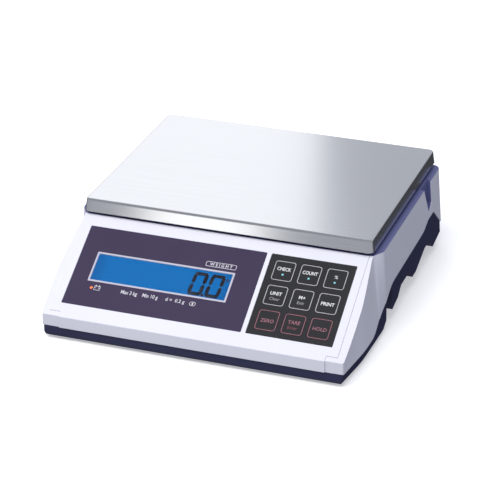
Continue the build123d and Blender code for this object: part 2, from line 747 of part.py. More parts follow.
def foot_knob(x, y):
    """Ribbed turning knob of a levelling foot with its threaded stud."""
    low = pad_height + 0.1
    body = Cylinder(knob_radius, knob_top - low, align=FLOOR)
    for count in range(20):
        angle = math.radians(count * 18.0)
        body -= Pos(knob_radius * math.cos(angle), knob_radius * math.sin(angle), -1) * Cylinder(1.0, 10, align=FLOOR)
    body -= Pos(0, 0, -1) * Cylinder(4.3, 3.9, align=FLOOR)
    stud = Pos(0, 0, knob_top - low) * Cylinder(stud_radius, stud_top - knob_top, align=FLOOR)
    stud = chamfer(stud.faces().sort_by(Axis.Z)[-1].edges(), 0.8)
    return Pos(x, y, low) * (body + stud)


def display_ribbon():
    """Flat cable from the display board, along the floor, up to the main board."""
    start = slope.from_local_coords(Vector(0, -60.0, board_top_n - board_thick - 0.3))
    points = [(90.0, start.Y, start.Z), (90.0, -95.0, 14.0), (90.0, 62.0, 13.0), (90.0, 71.0, 36.4), (90.0, 85.8, 36.4)]
    path = FilletPolyline(*points, radius=[8.0, 8.0, 5.0])
    start_plane = Plane(origin=path @ 0, x_dir=(1, 0, 0), z_dir=path % 0)
    return sweep(start_plane * Rectangle(20.0, 1.0), path=path)


def cable(points, radii, radius):
    """A round cable along straight runs joined by arcs."""
    path = FilletPolyline(*points, radius=radii)
    start = Plane(origin=path @ 0, z_dir=path % 0)
    return sweep(start * Circle(radius), path=path)


def load_cell_lead():
    """Screened cable from the load cell to the main board."""
    points = [(-65.0, platter_y, 31.0), (-84.0, platter_y, 31.0), (-84.0, 74.0, 32.0), (10.0, 74.5, 36.0),
              (22.0, 79.0, 36.0), (22.0, 91.9, 36.0)]
    return cable(points, [8.0, 8.0, 12.0, 6.0], 1.8)


def battery_leads():
    """Two insulated wires from the battery tabs to the main board."""
    leads = Part()
    for y, target in ((100.0, 97.0), (142.0, 102.0)):
        points = [(battery_x[1] + 8.0, y, 45.4), (battery_x[1] + 13.0, y, 45.4), (22.0, target, 46.0), (22.0, target, 38.7)]
        leads += cable(points, [2.5, 2.5], 0.9)
    return leads


def rating_plate():
    """Blank metal plate on the underside."""
    return block(40.0, 100.0, -70.0, -30.0, underside_z - 0.4, underside_z)


key_names = ["check", "count", "percent", "unit", "memory", "print", "zero", "tare", "hold"]

os.makedirs("parts", exist_ok=True)
write("upper_housing", upper_housing())
write("lower_base", lower_base())
write("platter", platter())
write("platter_support", platter_support())
write("platter_cushions", platter_cushions())
write("overload_stop_screws", stop_screws())
write("overload_stop_nuts", stop_nuts())
write("load_cell", load_cell())
write("load_cell_base_spacer", cell_spacer(-1, 14.0, cell_bottom))
write("load_cell_top_spacer", cell_spacer(1, cell_bottom + cell_height + weighing_travel + 0.05, spacer_top))
write("load_cell_base_screws", socket_screws([(x, platter_y) for x in cell_hole_x(-1)], 5.0, 10.0, 33.0, 3.0, 5.0))
write("load_cell_top_screws", socket_screws([(x, platter_y) for x in cell_hole_x(1)], 54.0, 59.0, 29.0, 3.0, 5.0))
write("display_label", display_label())
write("display_bezel", lens_bezel())
write("display_window", lens_window())
write("lcd_glass", lcd_glass())
write("lcd_backlight", lcd_backlight())
write("display_board", display_board())
write("display_board_screws", display_board_screws())
write("keypad_overlay", keypad_overlay())
for name, (x, s) in zip(key_names, key_places()):
    write(f"key_{name}", key(x, s))
write("key_switches", key_switches())
write("charge_lamp", charge_lamp())
write("main_board", main_board())
write("main_board_parts", main_board_parts())
write("main_board_screws", main_board_screws())
write("serial_port", serial_port())
write("serial_port_nuts", serial_port_nuts())
write("dc_jack", dc_jack())
write("power_switch_body", switch_body())
write("power_rocker", power_rocker())
write("battery", battery())
write("battery_terminals", battery_terminals())
write("battery_cover", battery_cover())
write("battery_cover_screws", battery_cover_screws())
write("level_vial_bezel", vial_bezel())
write("level_vial_glass", vial_glass())
write("case_screws", case_screws())
write("foot_inserts", foot_inserts())
for name, (x, y) in foot_places.items():
    write(f"foot_{name}_pad", foot_pad(x, y))
    write(f"foot_{name}_knob", foot_knob(x, y))
write("display_ribbon", display_ribbon())
write("load_cell_lead", load_cell_lead())
write("battery_leads", battery_leads())
write("rating_plate", rating_plate())
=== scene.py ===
import json
import math

import bpy
from mathutils import Matrix, Vector

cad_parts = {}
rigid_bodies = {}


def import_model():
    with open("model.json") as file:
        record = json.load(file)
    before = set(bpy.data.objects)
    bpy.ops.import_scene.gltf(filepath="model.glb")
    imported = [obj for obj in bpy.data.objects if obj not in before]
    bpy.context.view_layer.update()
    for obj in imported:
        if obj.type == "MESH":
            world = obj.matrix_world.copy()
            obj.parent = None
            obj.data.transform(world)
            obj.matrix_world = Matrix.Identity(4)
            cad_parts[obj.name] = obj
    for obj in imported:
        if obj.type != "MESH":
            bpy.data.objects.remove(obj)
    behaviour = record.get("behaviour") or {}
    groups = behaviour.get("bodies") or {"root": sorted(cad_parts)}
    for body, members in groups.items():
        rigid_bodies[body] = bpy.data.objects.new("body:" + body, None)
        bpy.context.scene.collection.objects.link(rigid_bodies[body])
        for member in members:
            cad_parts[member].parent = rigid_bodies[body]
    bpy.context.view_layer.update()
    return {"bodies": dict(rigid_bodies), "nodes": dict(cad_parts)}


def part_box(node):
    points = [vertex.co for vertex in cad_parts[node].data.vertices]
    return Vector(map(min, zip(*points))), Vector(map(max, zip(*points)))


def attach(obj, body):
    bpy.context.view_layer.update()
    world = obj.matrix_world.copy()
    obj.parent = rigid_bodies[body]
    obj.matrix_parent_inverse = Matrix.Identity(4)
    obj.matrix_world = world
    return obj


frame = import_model()

# The camera looks down on the scale from its front right corner, with a long lens.
# Metres and degrees, in the frame of the scale, whose origin is on the table.
camera = bpy.data.objects.new("camera", bpy.data.cameras.new("camera"))
bpy.context.collection.objects.link(camera)
camera.data.lens = 153.92
camera.data.clip_start = 0.1
camera.data.clip_end = 30.0
camera.location = (0.6617, -1.8917, 1.0321)
camera.rotation_euler = (math.radians(90.0 - 26.28), 0.0, math.radians(19.22))
bpy.context.scene.camera = camera
bpy.context.scene.view_settings.view_transform = "Standard"


# Soft studio light: a pale room all round that darkens low behind, a wide soft box overhead, an
# upright one behind on the left for the platter's top to mirror, a weak cool one at the right, and a
# small one low in front for the platter's rim to mirror.
class Socket:
    """One output in a node tree. Arithmetic on it adds Math nodes."""

    def __init__(self, tree, output=None):
        self.tree = tree
        self.output = output

    def node(self, kind, settings=None, inputs=None, result=0):
        """A new node: its settings first, then values or links for its inputs."""
        node = self.tree.nodes.new(kind)
        for name, value in (settings or {}).items():
            if name == "stops":
                while len(node.color_ramp.elements) < len(value):
                    node.color_ramp.elements.new(0.5)
                for element, (place, colour) in zip(node.color_ramp.elements, value):
                    element.position = place
                    element.color = colour
            else:
                setattr(node, name, value)
        for key, value in (inputs or {}).items():
            if isinstance(value, Socket):
                self.tree.links.new(value.output, node.inputs[key])
            else:
                node.inputs[key].default_value = value
        return Socket(self.tree, node.outputs[result] if node.outputs else None)

    def part(self, result):
        """Another output of the same node."""
        return Socket(self.tree, self.output.node.outputs[result])

    def math(self, operation, *values, clamp=False):
        settings = {"operation": operation, "use_clamp": clamp}
        return self.node("ShaderNodeMath", settings, dict(enumerate(values)))

    def __add__(self, other):
        return self.math("ADD", self, other)

    def __radd__(self, other):
        return self.math("ADD", other, self)

    def __sub__(self, other):
        return self.math("SUBTRACT", self, other)

    def __rsub__(self, other):
        return self.math("SUBTRACT", other, self)

    def __mul__(self, other):
        return self.math("MULTIPLY", self, other)

    def __rmul__(self, other):
        return self.math("MULTIPLY", other, self)

    def smooth(self, low, high, start=0.0, end=1.0):
        """Start below low, end above high, and an eased change between them."""
        inputs = {"Value": self, "From Min": low, "From Max": high, "To Min": start, "To Max": end}
        return self.node("ShaderNodeMapRange", {"interpolation_type": "SMOOTHSTEP"}, inputs)


world = bpy.data.worlds.new("studio")
bpy.context.scene.world = world
world.use_nodes = True
world.node_tree.nodes.clear()
room = Socket(world.node_tree)
direction = room.node("ShaderNodeTexCoord", result="Generated")
split = room.node("ShaderNodeSeparateXYZ", inputs={0: direction})
above = split.part("Z").smooth(-0.05, 0.25)
behind = split.part("Y").smooth(-0.2, 0.6)
below_level = 0.44 - behind * 0.38
above_level = 0.36 + behind * 0.20
level = below_level + (above_level - below_level) * above
sky = room.node("ShaderNodeBackground", inputs={"Color": (0.83, 0.87, 1.0, 1.0), "Strength": level * 1.10})
room.node("ShaderNodeOutputWorld", inputs={"Surface": sky})


def soft_box(name, place, target, width, height, power, colour):
    """A rectangular area light that faces its target."""
    data = bpy.data.lights.new(name, "AREA")
    data.shape = "RECTANGLE"
    data.size = width
    data.size_y = height
    data.energy = power
    data.color = colour
    lamp = bpy.data.objects.new(name, data)
    lamp.location = place
    lamp.rotation_euler = (Vector(target) - Vector(place)).to_track_quat("-Z", "Y").to_euler()
    bpy.context.collection.objects.link(lamp)
    return lamp


overhead = soft_box("overhead", (-0.25, -0.85, 1.60), (0.0, -0.10, 0.05), 1.7, 1.1, 26.5, (1.0, 0.99, 0.98))
soft_box("back_panel", (-0.83, 1.0, 0.66), (-0.83, 0.0, 0.66), 1.2, 1.0, 2.6, (0.97, 0.98, 1.0))
side_fill = soft_box("side_fill", (1.3, -0.9, 0.5), (0.1, 0.0, 0.05), 0.8, 0.8, 1.2, (0.72, 0.74, 1.0))
strip = soft_box("rim_strip", (-0.183, -0.539, 0.0045), (-0.035, -0.070, 0.094), 0.155, 0.12, 0.070,
                 (1.0, 1.0, 1.0))
overhead.visible_glossy = False
side_fill.visible_glossy = False
strip.visible_diffuse = False
strip.visible_camera = False


# The floor: a plain pale table top with a faint soft mottling, not part of the object.
# Mirror-like reflections ignore it, so the polished steel shows the room instead.
class Material:
    """A material under construction, around one Principled shader."""

    def __init__(self, name, constants):
        self.material = bpy.data.materials.new(name)
        self.material.use_nodes = True
        self.tree = self.material.node_tree
        self.tree.nodes.clear()
        self.constants = constants
        self.start = Socket(self.tree)
        self.place = self.start.node("ShaderNodeTexCoord", result="Object")

    def noise(self, scale, detail=2.0, roughness=0.5, stretch=None, seed=0.0):
        """Noise over the object's own coordinates, scale in waves per metre."""
        place = self.place
        if stretch or seed:
            inputs = {"Vector": place, "Scale": stretch or (1.0, 1.0, 1.0), "Location": (seed, seed, seed)}
            place = self.start.node("ShaderNodeMapping", inputs=inputs)
        inputs = {"Vector": place, "Scale": scale, "Detail": detail, "Roughness": roughness}
        return self.start.node("ShaderNodeTexNoise", inputs=inputs, result=0)

    def mix(self, factor, *colours):
        """A colour between two colours, each a socket or three numbers."""
        first, second = [colour if isinstance(colour, Socket) else (*colour, 1.0) for colour in colours]
        inputs = {"Factor": factor, 6: first, 7: second}
        return self.start.node("ShaderNodeMix", {"data_type": "RGBA"}, inputs, result=2)

    def bump(self, height, distance, strength=1.0, normal=None):
        inputs = {"Height": height, "Distance": distance, "Strength": strength}
        if normal:
            inputs["Normal"] = normal
        return self.start.node("ShaderNodeBump", inputs=inputs)

    def rounded(self, radius, samples=4):
        """The surface normal with every sharp edge rounded by a small radius."""
        return self.start.node("ShaderNodeBevel", {"samples": samples}, {"Radius": radius})

    def finish(self, **varying):
        """Puts the shader on and gives the material."""
        inputs = dict(self.constants)
        for key, value in varying.items():
            inputs[key.replace("_", " ").title()] = value
        shader = self.start.node("ShaderNodeBsdfPrincipled", inputs=inputs)
        self.start.node("ShaderNodeOutputMaterial", inputs={"Surface": shader})
        return self.material


def dress(material, *nodes):
    """Gives CAD nodes their finish in every slot."""
    for name in nodes:
        mesh = frame["nodes"][name].data
        if not mesh.materials:
            mesh.materials.append(material)
        for index in range(len(mesh.materials)):
            mesh.materials[index] = material


bpy.ops.object.select_all(action="DESELECT")
bpy.ops.mesh.primitive_plane_add(size=16.0, location=(0.0, 0.0, 0.0))
floor = bpy.context.object
floor.name = "floor"
bpy.ops.object.mode_set(mode="EDIT")
bpy.ops.mesh.subdivide(number_cuts=3)
bpy.ops.object.mode_set(mode="OBJECT")
paper = Material("table_paper", {"Roughness": 0.9, "Specular IOR Level": 0.1, "Emission Strength": 0.42})
mottling = paper.noise(3.0, detail=3.0)
floor_tone = paper.mix(mottling.smooth(0.3, 0.7), (0.93, 0.93, 0.93), (0.95, 0.95, 0.95))
floor.data.materials.append(paper.finish(base_color=floor_tone, emission_color=floor_tone))
floor.visible_glossy = False
floor.visible_diffuse = False
floor.visible_shadow = False


# The light case: injection moulded ABS, cool white, with a fine spark-eroded grain.
# It is one shell, screwed to the base from below through six posts.
DECK_Z = 0.0915
SIDE_X = 0.1660
SIDE_X_LEVEL = 0.012
SIDE_LEAN = 0.0566
GROOVE_FRONT = 0.0985
GROOVE_REAR = 0.1305
GROOVE_LOW = 0.055


def painted_shade_parts(made):
    """Where shade is painted on the case in dark slate blue: the deck under the platter and the two finger
    grooves.
    """
    place = made.start.node("ShaderNodeSeparateXYZ", inputs={0: made.place})
    side = place.math("ABSOLUTE", place.part("X")) + (place.part("Z") - SIDE_X_LEVEL) * SIDE_LEAN
    deck = place.part("Z").smooth(DECK_Z - 0.0002, DECK_Z)
    behind_front = place.part("Y").smooth(GROOVE_FRONT, GROOVE_FRONT + 0.0005)
    behind_rear = place.part("Y").smooth(GROOVE_REAR - 0.0005, GROOVE_REAR)
    under_skin = side.smooth(SIDE_X - 0.0007, SIDE_X - 0.0004, 1.0, 0.0)
    over_low = place.part("Z").smooth(GROOVE_LOW, GROOVE_LOW + 0.001)
    groove = under_skin * (behind_front - behind_rear) * over_low
    return deck.math("MAXIMUM", deck, groove)


def moulded_plastic(name, light, dark, roughness, grain, edge, recess_painted_shade=None):
    """Moulded plastic: fine grain in the gloss and the surface, faint flow marks, softened edges."""
    made = Material(name, {"Specular IOR Level": 0.3, "IOR": 1.5})
    flow = made.noise(9.0, detail=3.0, roughness=0.6)
    texture = made.noise(2600.0, detail=2.0)
    speck = made.noise(900.0, detail=3.0, seed=4.0)
    colour = made.mix(flow.smooth(0.3, 0.7) * 0.6 + speck.smooth(0.35, 0.65) * 0.4, light, dark)
    # The recess colour is painted shade, laid where the deck and the finger grooves lie in shade.
    if recess_painted_shade:
        colour = made.mix(painted_shade_parts(made), colour, recess_painted_shade)
    gloss = roughness + (texture - 0.5) * 0.10 + (flow - 0.5) * 0.06
    surface = made.bump(texture, grain, 0.6, made.rounded(edge))
    return made.finish(base_color=colour, roughness=gloss, normal=surface)


# The deck under the platter and the two finger grooves are painted dark slate blue as shade, and the
# platter's rim mirrors this painted shade as a dark reflection.
white_abs = moulded_plastic("white_abs", (0.86, 0.86, 0.93), (0.83, 0.83, 0.90), 0.42, 0.00003, 0.0007,
                            recess_painted_shade=(0.13, 0.14, 0.31))
dress(white_abs, "upper_housing")


# The base: the same grained ABS in navy blue-black. It carries the foot pockets, the side grips
# and the battery bay, and its lip stands inside the light case behind the seam.
navy_abs = moulded_plastic("navy_abs", (0.036, 0.038, 0.092), (0.029, 0.030, 0.076), 0.50, 0.00004, 0.0009)
dress(navy_abs, "lower_base", "battery_cover")


# The platter: a shallow tray of brushed stainless steel, folded down on all four sides.
# The brushing runs from side to side; the corners are folded and ground smooth.
def brushed_steel(name, light, dark, roughness, stretch, edge):
    """Steel with fine parallel scratches, long along one axis and fine across it."""
    made = Material(name, {"Metallic": 1.0, "Anisotropic": 0.0})
    broad = made.noise(5.0, detail=2.0)
    strokes = made.noise(1.0, detail=4.0, roughness=0.7, stretch=stretch)
    fine = made.noise(1.0, detail=3.0, roughness=0.8, stretch=tuple(2.6 * v for v in stretch), seed=3.0)
    scratches = strokes * 0.6 + fine * 0.4
    colour = made.mix(scratches.smooth(0.25, 0.75) * 0.7 + broad * 0.3, dark, light)
    gloss = roughness + (scratches - 0.5) * 0.10 + (broad - 0.5) * 0.03
    surface = made.bump(scratches, 0.000012, 0.5, made.rounded(edge))
    return made.finish(base_color=colour, roughness=gloss, normal=surface)


platter_steel = brushed_steel("platter_steel", (0.80, 0.80, 0.78), (0.71, 0.71, 0.69),
                              0.20, (6.0, 900.0, 900.0), 0.0008)
dress(platter_steel, "platter")


# Under the platter: the cast aluminium spider with its four rubber cushions, the load cell
# between its spacers, and the overload stops. The spider and its cushions show once the platter is off.
def cast_metal(name, light, dark, roughness, scale, depth):
    """Sand cast or milled metal with a pebbly skin."""
    made = Material(name, {"Metallic": 1.0})
    pebbles = made.noise(scale, detail=4.0, roughness=0.6)
    stain = made.noise(30.0, detail=3.0, seed=2.0)
    colour = made.mix(pebbles.smooth(0.3, 0.7) * 0.5 + stain.smooth(0.3, 0.7) * 0.5, light, dark)
    surface = made.bump(pebbles, depth, 0.7, made.rounded(0.0005))
    return made.finish(base_color=colour, roughness=roughness + (pebbles - 0.5) * 0.25, normal=surface)


def rubber(name, light, dark, scale):
    """Matt moulded rubber with a dusty bloom."""
    made = Material(name, {"Specular IOR Level": 0.3})
    bloom = made.noise(60.0, detail=4.0, roughness=0.6)
    grain = made.noise(scale, detail=2.0, seed=1.0)
    colour = made.mix(bloom.smooth(0.35, 0.75), dark, light)
    surface = made.bump(grain, 0.00004, 0.7, made.rounded(0.0005))
    return made.finish(base_color=colour, roughness=0.78 + (bloom - 0.5) * 0.15, normal=surface)


cast_aluminium = cast_metal("cast_aluminium", (0.60, 0.61, 0.62), (0.46, 0.47, 0.48), 0.50, 700.0, 0.0002)
cell_aluminium = brushed_steel("cell_aluminium", (0.78, 0.79, 0.80), (0.66, 0.67, 0.68),
                               0.30, (400.0, 400.0, 12.0), 0.0004)
zinc_steel = cast_metal("zinc_steel", (0.66, 0.65, 0.60), (0.52, 0.52, 0.50), 0.34, 1500.0, 0.00005)
black_rubber = rubber("black_rubber", (0.045, 0.045, 0.047), (0.020, 0.020, 0.021), 1400.0)
brass = cast_metal("brass", (0.72, 0.52, 0.22), (0.55, 0.38, 0.15), 0.32, 1500.0, 0.00004)
dress(cast_aluminium, "platter_support")
dress(cell_aluminium, "load_cell", "load_cell_base_spacer", "load_cell_top_spacer")
dress(black_rubber, "platter_cushions")
dress(zinc_steel, "overload_stop_screws", "overload_stop_nuts")
dress(zinc_steel, "load_cell_base_screws", "load_cell_top_screws")
dress(zinc_steel, "display_board_screws", "main_board_screws", "battery_cover_screws", "case_screws")
dress(zinc_steel, "serial_port_nuts")
dress(brass, "foot_inserts", "battery_terminals")


# Printed films on the slope: the display label is a satin purple-grey polycarbonate,
# the keypad overlay and its nine embossed keys a fine-grained charcoal polyester.
def printed_film(name, light, dark, roughness, weave):
    """Screen printed plastic film with a fine velvet embossing."""
    made = Material(name, {"Specular IOR Level": 0.25})
    cloud = made.noise(14.0, detail=3.0)
    velvet = made.noise(weave, detail=2.0, seed=2.0)
    colour = made.mix(cloud.smooth(0.3, 0.7) * 0.5 + velvet.smooth(0.3, 0.7) * 0.5, light, dark)
    surface = made.bump(velvet, 0.00002, 0.6)
    return made.finish(base_color=colour, roughness=roughness + (velvet - 0.5) * 0.12, normal=surface)


display_film = printed_film("display_film", (0.062, 0.047, 0.092), (0.055, 0.042, 0.083), 0.42, 2200.0)
key_film = printed_film("key_film", (0.036, 0.036, 0.037), (0.029, 0.029, 0.031), 0.40, 2200.0)
frame_grey = printed_film("frame_grey", (0.62, 0.60, 0.68), (0.55, 0.54, 0.62), 0.35, 2500.0)
key_bodies = [name for name in frame["bodies"] if name.startswith("key_")]
dress(display_film, "display_label")
dress(key_film, "keypad_overlay", *key_bodies)
dress(frame_grey, "display_bezel")


# The display: a clear acrylic lens in its grey frame, over a blue back-lit glass.
# The glass lights up by itself; its segments stay dark.
lens = Material("clear_acrylic", {"Transmission Weight": 1.0, "IOR": 1.1, "Specular IOR Level": 0.05})
smudge = lens.noise(25.0, detail=3.0)
clear_acrylic = lens.finish(
    base_color=lens.mix(smudge, (0.96, 0.97, 0.99), (0.93, 0.95, 0.98)),
    roughness=0.04 + smudge * 0.05)
dress(clear_acrylic, "display_window")

glass_low, glass_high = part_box("lcd_glass")
glow = Material("lcd_blue", {"Roughness": 0.5, "Specular IOR Level": 0.1, "Emission Strength": 1.0})
across = glow.start.node("ShaderNodeSeparateXYZ", inputs={0: glow.place})
LEFT_FADE = 0.016
RIGHT_FADE = 0.014
edge_left = across.part("X").smooth(glass_low.x, glass_low.x + LEFT_FADE)
edge_right = 1.0 - across.part("X").smooth(glass_high.x - RIGHT_FADE, glass_high.x)
cells = glow.noise(45.0, detail=3.0)
evenness = edge_left * edge_right * 0.35 + 0.65 + (cells - 0.5) * 0.10
lit = glow.mix(evenness, (0.000, 0.045, 0.190), (0.000, 0.142, 0.430))
lcd_blue = glow.finish(
    base_color=glow.mix(cells, (0.004, 0.020, 0.060), (0.004, 0.024, 0.070)), emission_color=lit)
dress(lcd_blue, "lcd_glass")

# Everything printed or shown on the slope is placed by its distance across, down the slope and out of it.
# The slope's own plane comes from the display label, which lies on it.
SLOPE = math.radians(30.46)
MM = 0.001
LABEL_TOP = 12.7
LABEL_SINK = 0.1
film_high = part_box("display_label")[1]
film_thick = 0.5 * MM
down_slope = Vector((0.0, -math.cos(SLOPE), -math.sin(SLOPE)))
off_slope = Vector((0.0, -math.sin(SLOPE), math.cos(SLOPE)))
label_edge = Vector((0.0, film_high.y - film_thick * math.sin(SLOPE), film_high.z))
slope_origin = label_edge - down_slope * LABEL_TOP * MM + off_slope * LABEL_SINK * MM


def on_slope(across, down, out):
    """The place and turn of something flat on the slope, from millimetres."""
    place = slope_origin + Vector((across * MM, 0.0, 0.0)) + down_slope * down * MM + off_slope * out * MM
    return Matrix.Translation(place) @ Matrix.Rotation(SLOPE, 4, "X")


def settle(piece, name, place, material, body):
    """Names a new piece, puts its place into its mesh, gives it its finish and its body."""
    piece.name = name
    piece.data.name = name
    piece.data.transform(place @ piece.matrix_world)
    piece.matrix_world = Matrix.Identity(4)
    piece.data.materials.clear()
    piece.data.materials.append(material)
    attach(piece, body)
    return piece


INK = 0.05


def lettering(name, words, height, place, material, body, bold=0.0, width=1.0):
    """Screen printed words, as a thin raised layer of ink centred on its place."""
    bpy.ops.object.select_all(action="DESELECT")
    bpy.ops.object.text_add(location=(0.0, 0.0, 0.0))
    text = bpy.context.object
    text.data.body = words
    text.data.size = height * MM / 0.72
    text.data.align_x = "CENTER"
    text.data.align_y = "CENTER"
    text.data.offset = bold * MM
    text.data.extrude = INK * MM / 2
    text.data.resolution_u = 3
    bpy.ops.object.convert(target="MESH")
    ink = bpy.context.object
    middle = sum((Vector(corner) for corner in ink.bound_box), Vector()) / 8
    ink.data.transform(Matrix.Diagonal((width, 1.0, 1.0, 1.0)) @ Matrix.Translation(-middle))
    return settle(ink, name, place, material, body)


def rounded_plate(width, height, corner, thick, segments=4, line=None):
    """A flat plate with rounded corners or, with a line width, only its outline."""
    bpy.ops.object.select_all(action="DESELECT")
    bpy.ops.mesh.primitive_plane_add(size=1.0, location=(0.0, 0.0, 0.0))
    plate = bpy.context.object
    bpy.ops.object.mode_set(mode="EDIT")
    bpy.ops.transform.resize(value=(width * MM, height * MM, 1.0))
    if corner:
        bpy.ops.mesh.bevel(affect="VERTICES", offset=corner * MM, segments=segments)
    if line:
        bpy.ops.mesh.select_all(action="SELECT")
        bpy.ops.mesh.inset(thickness=line * MM)
        bpy.ops.mesh.delete(type="FACE")
    bpy.ops.mesh.select_all(action="SELECT")
    bpy.ops.mesh.extrude_region_move(TRANSFORM_OT_translate={"value": (0.0, 0.0, thick * MM)})
    bpy.ops.mesh.select_all(action="SELECT")
    bpy.ops.mesh.normals_make_consistent(inside=False)
    bpy.ops.object.mode_set(mode="OBJECT")
    return plate


def ink(name, light, dark):
    """Screen printing ink: nearly flat, a little uneven in thickness and gloss."""
    made = Material(name, {"Specular IOR Level": 0.3})
    patch = made.noise(500.0, detail=3.0, roughness=0.6)
    colour = made.mix(patch.smooth(0.3, 0.7), dark, light)
    return made.finish(base_color=colour, roughness=0.45 + (patch - 0.5) * 0.2,
                       normal=made.bump(patch, 0.00002, 0.5))


# Screen printing on the display label: a small outlined badge over the display, the capacity line
# with its little ring mark, and the battery sign beside the charge lamp. All in white ink.
white_ink = ink("white_ink", (0.80, 0.79, 0.83), (0.68, 0.67, 0.72))
PRINT_OUT = -0.11
BADGE = {"across": 6.4, "down": 36.0}
CAPACITY_DOWN = 85.0
RING = {"across": -8.9, "down": CAPACITY_DOWN}
LEFT_POST = -113.0
RIGHT_POST = -109.4


def on_label(piece, name, across, down):
    """Prints a flat shape on the display label."""
    settle(piece, name, on_slope(across, down, PRINT_OUT), white_ink, "case")


def words_on_label(name, words, height, across, down, bold, width):
    """Prints words on the display label."""
    place = on_slope(across, down, PRINT_OUT + INK / 2)
    lettering(name, words, height, place, white_ink, "case", bold=bold, width=width)


on_label(rounded_plate(32.4, 6.0, 1.8, INK, line=0.55), "badge_outline", **BADGE)
words_on_label("badge_word", "W E I G H T", 3.5, bold=0.10, width=0.92, **BADGE)
capacity_words = [("capacity_max", "Max 3 kg", 4.3, -76.7, 0.10, 0.80),
                  ("capacity_min", "Min 10 g", 4.3, -54.1, 0.10, 0.80),
                  ("capacity_step", "d =  0.2 g", 4.0, -27.5, 0.07, 0.95)]
for name, words, height, across, bold, width in capacity_words:
    words_on_label(name, words, height, across, CAPACITY_DOWN, bold, width)
on_label(rounded_plate(6.6, 4.8, 2.35, INK, segments=8, line=0.5), "capacity_ring", **RING)
on_label(rounded_plate(1.4, 3.0, 0.5, INK), "capacity_ring_bar", **RING)
on_label(rounded_plate(6.4, 5.0, 0.7, INK, line=0.45), "battery_sign_case", -111.2, 84.9)
for index, across in enumerate((LEFT_POST, RIGHT_POST)):
    on_label(rounded_plate(1.3, 0.9, 0.2, INK), f"battery_sign_post_{index}", across, 81.9)
sign_bars = [(LEFT_POST, 1.5, 0.4), (RIGHT_POST, 1.5, 0.4), (RIGHT_POST, 0.4, 1.6)]
for index, (across, wide, tall) in enumerate(sign_bars):
    on_label(rounded_plate(wide, tall, 0.1, INK), f"battery_sign_bar_{index}", across, 84.6)


# The charge lamp: an orange light emitting diode in its own hole at the left of the battery sign.
lamp = Material("amber_lamp", {"Roughness": 0.3, "Emission Strength": 1.1})
spark = lamp.noise(900.0, detail=2.0)
lamp_colour = lamp.mix(spark, (0.80, 0.16, 0.04), (0.90, 0.26, 0.07))
lamp_light = lamp.mix(spark, (0.75, 0.12, 0.03), (0.85, 0.20, 0.06))
dress(lamp.finish(base_color=lamp_colour, emission_color=lamp_light), "charge_lamp")


# The digits on the glass: seven-segment bars with pointed ends, slanted to the right.
# They sit in the glass, so each is a thin dark shape on its top face.
lcd_dark = ink("lcd_dark", (0.006, 0.008, 0.020), (0.003, 0.004, 0.012))
GLASS_THICK = 2.8
DIGIT_SINK = 0.02
glass_corner = Vector((0.0, glass_high.y - GLASS_THICK * MM * math.sin(SLOPE), glass_high.z))
glass_out = (glass_corner - slope_origin).dot(off_slope) / MM - DIGIT_SINK
DIGIT_TALL = 27.5
DIGIT_WIDE = 15.6
STROKE = 3.9
SLANT = 0.06
END_GAP = 0.7
SIDE_GAP = 0.6
MIDDLE_GAP = 0.1
DIGIT_DOWN = 60.4


def on_glass(piece, name, across, down):
    """Puts a dark shape on the lit glass."""
    settle(piece, name, on_slope(across, down, glass_out), lcd_dark, "case")


def segment(length, turned):
    """One bar of a digit, pointed at both ends."""
    bar = rounded_plate(length, STROKE, STROKE * 0.42, INK, segments=1)
    if turned:
        bar.data.transform(Matrix.Rotation(math.pi / 2, 4, "Z"))
    return bar


def digit(name, across):
    """A zero of six bars, slanted about the middle of its height."""
    half_wide = (DIGIT_WIDE - STROKE) / 2
    half_tall = (DIGIT_TALL - STROKE) / 2
    bars = [(0.0, level * half_tall, DIGIT_WIDE - 2 * END_GAP, False) for level in (1, -1)]
    for side in (-1, 1):
        for level in (-1, 1):
            bars.append((side * half_wide, level * (half_tall / 2 + MIDDLE_GAP), half_tall - SIDE_GAP, True))
    slant = Matrix.Identity(4)
    slant[0][1] = SLANT
    for index, (x, y, length, turned) in enumerate(bars):
        bar = segment(length, turned)
        bar.data.transform(slant @ Matrix.Translation((x * MM, y * MM, 0.0)))
        on_glass(bar, f"{name}_bar_{index}", across, DIGIT_DOWN)


digit("digit_left", -10.9)
digit("digit_right", 7.2)
on_glass(rounded_plate(3.0, 3.0, 0.8, INK), "digit_point", -2.9, 72.6)
on_glass(rounded_plate(2.6, 3.4, 1.0, INK, line=0.9), "digit_unit", 17.8, 51.4)


# The nine keys: each prints a thin rounded outline and its function, white above and rose in the
# bottom row. Three have a small pale blue dot. The ink rides on its key, so it is pressed with it.
pale_ink = ink("pale_ink", (0.56, 0.55, 0.56), (0.44, 0.43, 0.45))
bright_ink = ink("bright_ink", (0.86, 0.86, 0.86), (0.74, 0.74, 0.75))
soft_ink = ink("soft_ink", (0.38, 0.37, 0.38), (0.31, 0.30, 0.31))
rose_ink = ink("rose_ink", (0.36, 0.16, 0.19), (0.29, 0.13, 0.16))
faint_rose = ink("faint_rose", (0.24, 0.09, 0.11), (0.20, 0.07, 0.09))
blue_ink = ink("blue_ink", (0.30, 0.72, 0.78), (0.22, 0.60, 0.66))
KEY_CENTRE = (97.7, 60.35)
KEY_PITCH = (27.0, 29.3)
OUTLINE_WIDE = 21.3
OUTLINE_TALL = 22.9
WORD_TALL = 4.0
WORD_RISE = 2.3
LONE_WORD_DROP = 0.4
SECOND_TALL = 3.4
SECOND_DROP = 4.0
DOT_WIDE = 2.2
DOT_DROP = 4.2
key_words = [[("check", "CHECK", ".", 0.78), ("count", "COUNT", ".", 0.78), ("percent", "%", ".", 1.0)],
             [("unit", "UNIT", "Clear", 0.94), ("memory", "M+", "Exit", 0.94), ("print", "PRINT", "", 0.92)],
             [("zero", "ZERO", "", 0.95), ("tare", "TARE", "Enter", 0.95), ("hold", "HOLD", "", 0.95)]]


